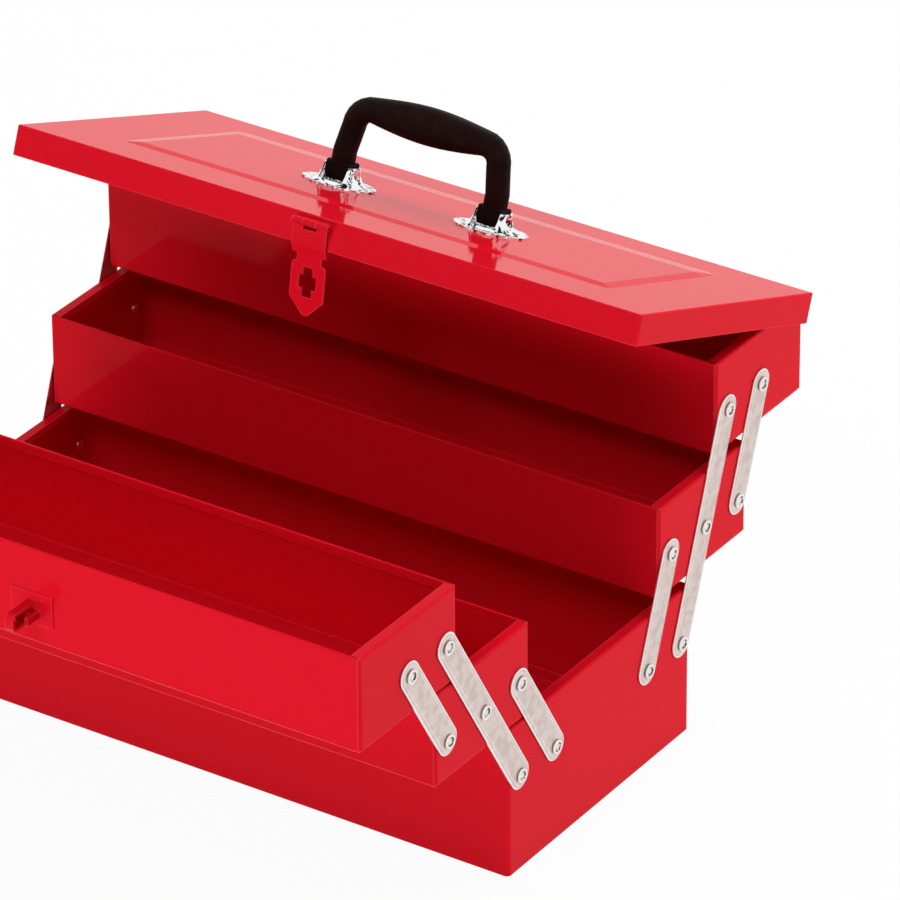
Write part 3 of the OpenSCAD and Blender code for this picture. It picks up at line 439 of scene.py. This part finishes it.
# Painted shade: the near-black below is painted in the dish, in patches whose size and spread follow.
RIVET_DISH_SHADE = "1C1110"
DISH_MM = 2.0
DISH_FROM = 1.0
DISH_FULL = 0.92
DISH_SHADE_PATCH_MM = 1.4
DISH_SHADE_FROM = 0.42
DISH_SHADE_FULL = 0.50


def rivet_plate():
    """Plated rivet with patches of painted shade in its dish."""
    material, tree = new_material("plated_rivet_with_painted_shade")
    hollow = add(tree, "ShaderNodeAmbientOcclusion", {
        "samples": 6, "only_local": True, "Distance": DISH_MM * MM})
    depth = add(tree, "ShaderNodeMapRange", {
        "From Min": DISH_FROM, "From Max": DISH_FULL, "Value": hollow.outputs["AO"]})
    place = add(tree, "ShaderNodeTexCoord", {}).outputs["Object"]
    spots = add(tree, "ShaderNodeTexNoise", {
        "Scale": 1 / (DISH_SHADE_PATCH_MM * MM), "Detail": 2.0, "Vector": place})
    patch = add(tree, "ShaderNodeMapRange", {
        "From Min": DISH_SHADE_FROM, "From Max": DISH_SHADE_FULL, "Value": spots.outputs["Fac"]})
    # Painted shade: dark where the dish is deep and the noise allows.
    dish_shade = add(tree, "ShaderNodeMath", {
        "operation": "MULTIPLY", 0: depth.outputs[0], 1: patch.outputs[0]})
    colour = add(tree, "ShaderNodeMix", {
        "data_type": "RGBA", 0: dish_shade.outputs[0], 6: linear(RIVET_STEEL), 7: linear(RIVET_DISH_SHADE)})
    plate = add(tree, "ShaderNodeBsdfPrincipled", {
        "Metallic": 1.0, "Roughness": 0.28, "Base Color": colour.outputs[2]})
    add(tree, "ShaderNodeOutputMaterial", {"Surface": plate.outputs[0]})
    return material


rivet_steel = rivet_plate()
print(rivet_steel.name, "nodes:", len(rivet_steel.node_tree.nodes))

# %% [markdown]
# ## Chrome
# The handle's brackets are pressed from thin steel and plated with bright chrome. The plate is a
# mirror, but the sheet under it was drawn and buckled by the press, so what it mirrors breaks up into
# white and nearly black streaks. A wavy bump as wide as the buckles gives the white, and a near-black
# colour painted in the hollows gives the dark streaks as painted reflection.

# %% Chrome plate
CHROME = "F4F4F6"
# Painted reflection: the near-black below is painted in the hollows of the buckles for dark streaks.
CHROME_DARK_REFLECTION = "2A2524"
BUCKLE_MM = 4.5
BUCKLE_DEPTH_MM = 0.9
DARK_REFLECTION_FROM = 0.43
DARK_REFLECTION_FULL = 0.39


def chrome_plate():
    """Bright chrome over buckled sheet, with a painted dark reflection in the hollows."""
    material, tree = new_material("bright_chrome_plate")
    place = add(tree, "ShaderNodeTexCoord", {}).outputs["Object"]
    buckle = add(tree, "ShaderNodeTexNoise", {
        "Scale": 1 / (BUCKLE_MM * MM), "Detail": 1.5, "Distortion": 0.6, "Vector": place})
    wave = add(tree, "ShaderNodeBump", {
        "Strength": 1.0, "Distance": BUCKLE_DEPTH_MM * MM, "Height": buckle.outputs["Fac"]})
    # Painted reflection: near-black where the buckle noise is low.
    dark_reflection_mask = add(tree, "ShaderNodeMapRange", {
        "From Min": DARK_REFLECTION_FROM, "From Max": DARK_REFLECTION_FULL, "Value": buckle.outputs["Fac"]})
    colour = add(tree, "ShaderNodeMix", {
        "data_type": "RGBA", 0: dark_reflection_mask.outputs[0], 6: linear(CHROME), 7: linear(CHROME_DARK_REFLECTION)})
    plate = add(tree, "ShaderNodeBsdfPrincipled", {
        "Metallic": 1.0, "Roughness": 0.06, "Base Color": colour.outputs[2], "Normal": wave.outputs[0]})
    add(tree, "ShaderNodeOutputMaterial", {"Surface": plate.outputs[0]})
    return material


chrome = chrome_plate()
print(chrome.name, "nodes:", len(chrome.node_tree.nodes))

# %% [markdown]
# ## Handle plastic
# The handle is moulded in black-brown polypropylene with a spark-eroded grain, which scatters what
# little the plastic reflects. The real grain is about a third of a millimetre and wouldn't show, so
# it is drawn three times as coarse. Hands have rubbed it a shade lighter in wide patches. Its shine
# is kept lower than a smooth plastic's, because between white walls it would turn grey.

# %% Moulded plastic
HANDLE_BLACK = "120605"
HANDLE_WORN = "1C0D0C"
RUB_MM = 14.0
RUB_FROM = 0.40
RUB_FULL = 0.65
GRAIN_MM = 0.9
GRAIN_DEPTH_MM = 0.1


def moulded_plastic():
    """Black-brown polypropylene with a grain and rubbed patches."""
    material, tree = new_material("moulded_polypropylene")
    place = add(tree, "ShaderNodeTexCoord", {}).outputs["Object"]
    rub = add(tree, "ShaderNodeTexNoise", {
        "Scale": 1 / (RUB_MM * MM), "Detail": 2.0, "Vector": place})
    worn = add(tree, "ShaderNodeMapRange", {
        "From Min": RUB_FROM, "From Max": RUB_FULL, "Value": rub.outputs["Fac"]})
    colour = add(tree, "ShaderNodeMix", {
        "data_type": "RGBA", 0: worn.outputs[0], 6: linear(HANDLE_BLACK), 7: linear(HANDLE_WORN)})
    grain = add(tree, "ShaderNodeTexNoise", {
        "Scale": 1 / (GRAIN_MM * MM), "Detail": 2.0, "Vector": place})
    pits = add(tree, "ShaderNodeBump", {
        "Strength": 0.25, "Distance": GRAIN_DEPTH_MM * MM, "Height": grain.outputs["Fac"]})
    skin = add(tree, "ShaderNodeBsdfPrincipled", {
        "Roughness": 0.55, "Specular IOR Level": 0.06,
        "Base Color": colour.outputs[2], "Normal": pits.outputs[0]})
    add(tree, "ShaderNodeOutputMaterial", {"Surface": skin.outputs[0]})
    return material


handle_plastic = moulded_plastic()
print(handle_plastic.name, "nodes:", len(handle_plastic.node_tree.nodes))

# %% [markdown]
# ## Collars of the brackets
# Round each foot of the handle the pressed bracket stands up in a low flared collar, which closes the
# way in front of and behind the foot. The solids keep that way open, because a cone there would be
# too thin to cut. Here the collar is one small profile, turned once round the foot, so it is a closed
# ring of metal. A torus would be quicker, but it has no flare.

# %% Bracket collars
PIVOT_ABOVE_DECK_MM = 8.5
COLLAR_STEPS = 48
COLLAR_PROFILE_MM = (  # radius, height above the lid
    (17.4, 1.0), (16.2, 1.25), (15.2, 1.9), (14.6, 3.0), (14.1, 3.3), (13.6, 3.0), (13.5, 1.0))


def turned_ring(name, middle, profile_mm, steps):
    """A closed ring, turned from its profile round the lid's upward direction."""
    points = []
    for step in range(steps):
        turn = 2 * math.pi * step / steps
        out = Vector((1.0, 0.0, 0.0)) * math.cos(turn) + lid_back * math.sin(turn)
        points += [middle + out * radius * MM + lid_up * height * MM for radius, height in profile_mm]
    count = len(profile_mm)
    faces = []
    for step in range(steps):
        here = step * count
        there = (step + 1) % steps * count
        for corner in range(count):
            beyond = (corner + 1) % count
            faces.append((here + corner, here + beyond, there + beyond, there + corner))
    mesh = bpy.data.meshes.new(name)
    mesh.from_pydata(points, [], faces)
    shape = bmesh.new()
    shape.from_mesh(mesh)
    bmesh.ops.recalc_face_normals(shape, faces=shape.faces)
    shape.to_mesh(mesh)
    shape.free()
    for face in mesh.polygons:
        face.use_smooth = True
    return mesh


for side in ("left", "right"):
    low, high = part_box("handle_bracket_" + side)
    foot = handle_pivot - lid_up * PIVOT_ABOVE_DECK_MM * MM
    foot.x = (low.x + high.x) / 2
    name = "bracket_collar_" + side
    collar = bpy.data.objects.new(name, turned_ring(name, foot, COLLAR_PROFILE_MM, COLLAR_STEPS))
    collar.data.materials.append(chrome)
    bpy.context.scene.collection.objects.link(collar)
    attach(collar, "lid")
    print(name, "faces:", len(collar.data.polygons))

# %% [markdown]
# ## Dressing the pieces
# The frame's record says which slot each piece wears, so the finish follows from that. Two pieces
# differ: the lid has its soft shoulder, and the hasp's pin was painted over with the hasp.

# %% Give every piece its finish
FINISHES = {
    "red_paint": red_enamel,
    "arm_zinc": arm_zinc,
    "hinge_zinc": arm_zinc,
    "rivet_steel": rivet_steel,
    "bracket_chrome": chrome,
    "handle_plastic": handle_plastic,
}
OWN_FINISH = {"lid_shell": lid_enamel, "hasp_pin": red_enamel}

slot_of = {part["node"]: part["material_slot"] for part in frame["record"]["subparts"]}
for name, piece in nodes.items():
    finish = OWN_FINISH.get(name, FINISHES[slot_of[name]])
    if piece.material_slots:
        for held in piece.material_slots:
            held.material = finish
    else:
        piece.data.materials.append(finish)
print({slot: list(slot_of.values()).count(slot) for slot in FINISHES})
